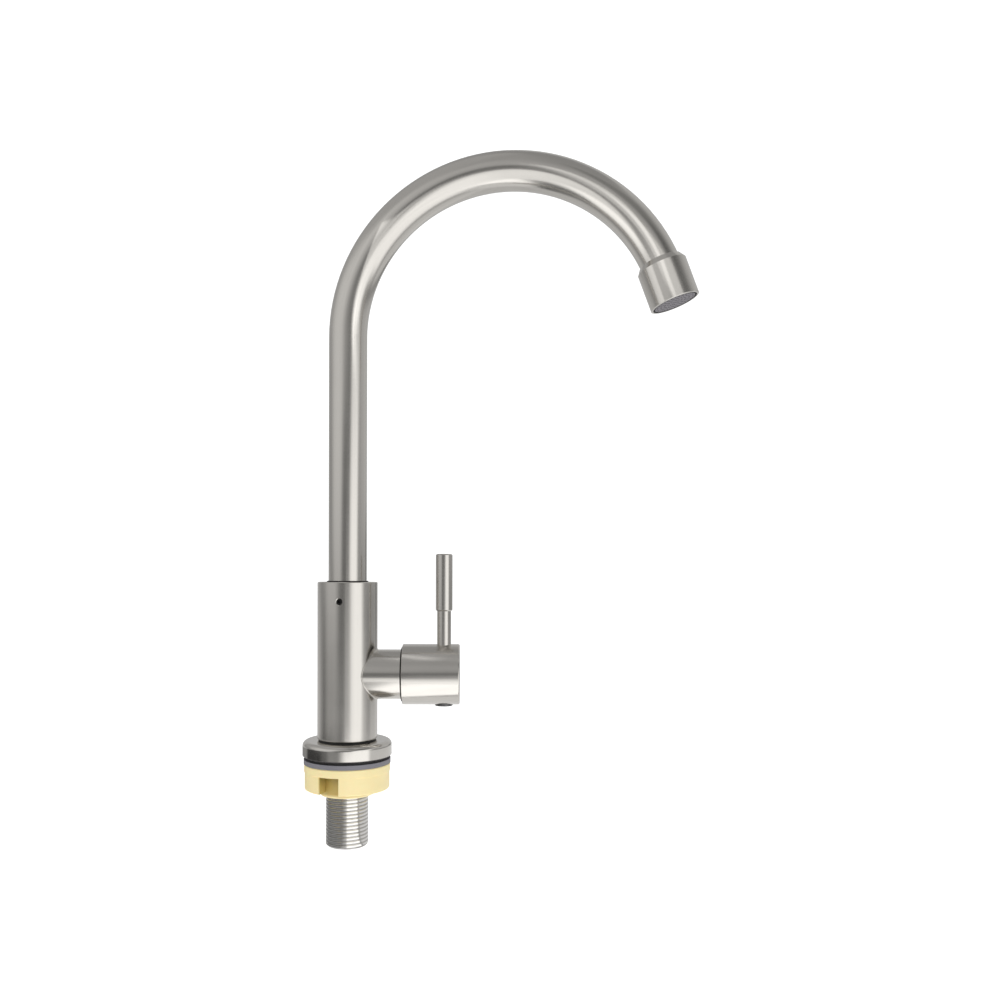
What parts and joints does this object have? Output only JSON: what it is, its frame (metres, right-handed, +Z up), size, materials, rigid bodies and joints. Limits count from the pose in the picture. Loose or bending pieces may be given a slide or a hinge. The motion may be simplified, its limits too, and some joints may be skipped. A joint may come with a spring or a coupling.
{
  "type": "gooseneck bar faucet",
  "caption": "Brushed steel bar faucet with a swivelling gooseneck spout, a side lever valve, and a threaded shank with a clamping nut.",
  "frame": {"origin": "on the body's axis at the deck: the centre of the gasket's underside, which rests on the worktop", "axes": "+Z up along the body, +X towards the valve and its handle, -Y the front of the picture"},
  "size_m": [0.1927, 0.0508, 0.3418],
  "materials": {
    "brushed_stainless": "brushed along the tube, satin",
    "turned_stainless": "turned round its axis, semi-bright",
    "threaded_steel": "cut thread, bright crests",
    "dark_steel": "blackened, satin",
    "brass": "turned, bright",
    "black_rubber": "matt",
    "grey_rubber": "matt, smooth",
    "cream_plastic": "moulded, satin",
    "black_plastic": "moulded, satin",
    "white_plastic": "moulded, satin",
    "ceramic": "lapped flat, fine",
    "screen_steel": "fine screen, dull"
  },
  "bodies": {
    "body": {"valve_body": "brushed_stainless", "foot_ring": "black_rubber", "base_flange": "turned_stainless", "deck_gasket": "black_rubber", "threaded_shank": "threaded_steel", "shank_seal": "black_rubber", "slip_ring": "black_plastic", "retaining_screw": "dark_steel", "valve_insert": "brass", "insert_seal": "black_rubber", "seat_seal": "black_rubber", "fixed_disc": "ceramic", "glide_ring": "black_plastic"},
    "spout": {"spout_tube": "brushed_stainless", "spout_adapter": "brass", "spout_seals": "black_rubber", "outlet_nipple": "turned_stainless", "aerator_shell": "brushed_stainless", "aerator_washer": "black_rubber", "aerator_cage": "black_plastic", "aerator_diffuser": "white_plastic", "aerator_screen": "screen_steel"},
    "handle": {"handle_hub": "brushed_stainless", "lever": "brushed_stainless", "clamp_screw": "dark_steel", "hub_plug": "dark_steel", "spindle": "brass", "spindle_seals": "black_rubber", "spindle_clip": "dark_steel", "thrust_washer": "white_plastic", "turning_disc": "ceramic"},
    "washer": {"clamp_washer": "grey_rubber"},
    "nut": {"lock_nut": "cream_plastic"}
  },
  "joints": [
    {"name": "spout_swivel", "type": "hinge", "parent": "body", "child": "spout", "pos_m": [0, 0, 0.0873], "axis": [0, 0, 1], "continuous": true},
    {"name": "handle_turn", "type": "hinge", "parent": "body", "child": "handle", "pos_m": [0.027, 0, 0.0413], "axis": [1, 0, 0], "range_deg": [0, 90]},
    {"name": "washer_travel", "type": "slide", "parent": "body", "child": "washer", "axis": [0, 0, -1], "range_m": [0, 0.025]},
    {"name": "nut_turn", "type": "hinge", "parent": "washer", "child": "nut", "pos_m": [0, 0, -0.00255], "axis": [0, 0, -1], "range_deg": [0, 4960]}
  ],
  "couplings": [
    {"joint": "washer_travel", "follows": "nut_turn", "m_per_rad": 0.00028871}
  ]
}
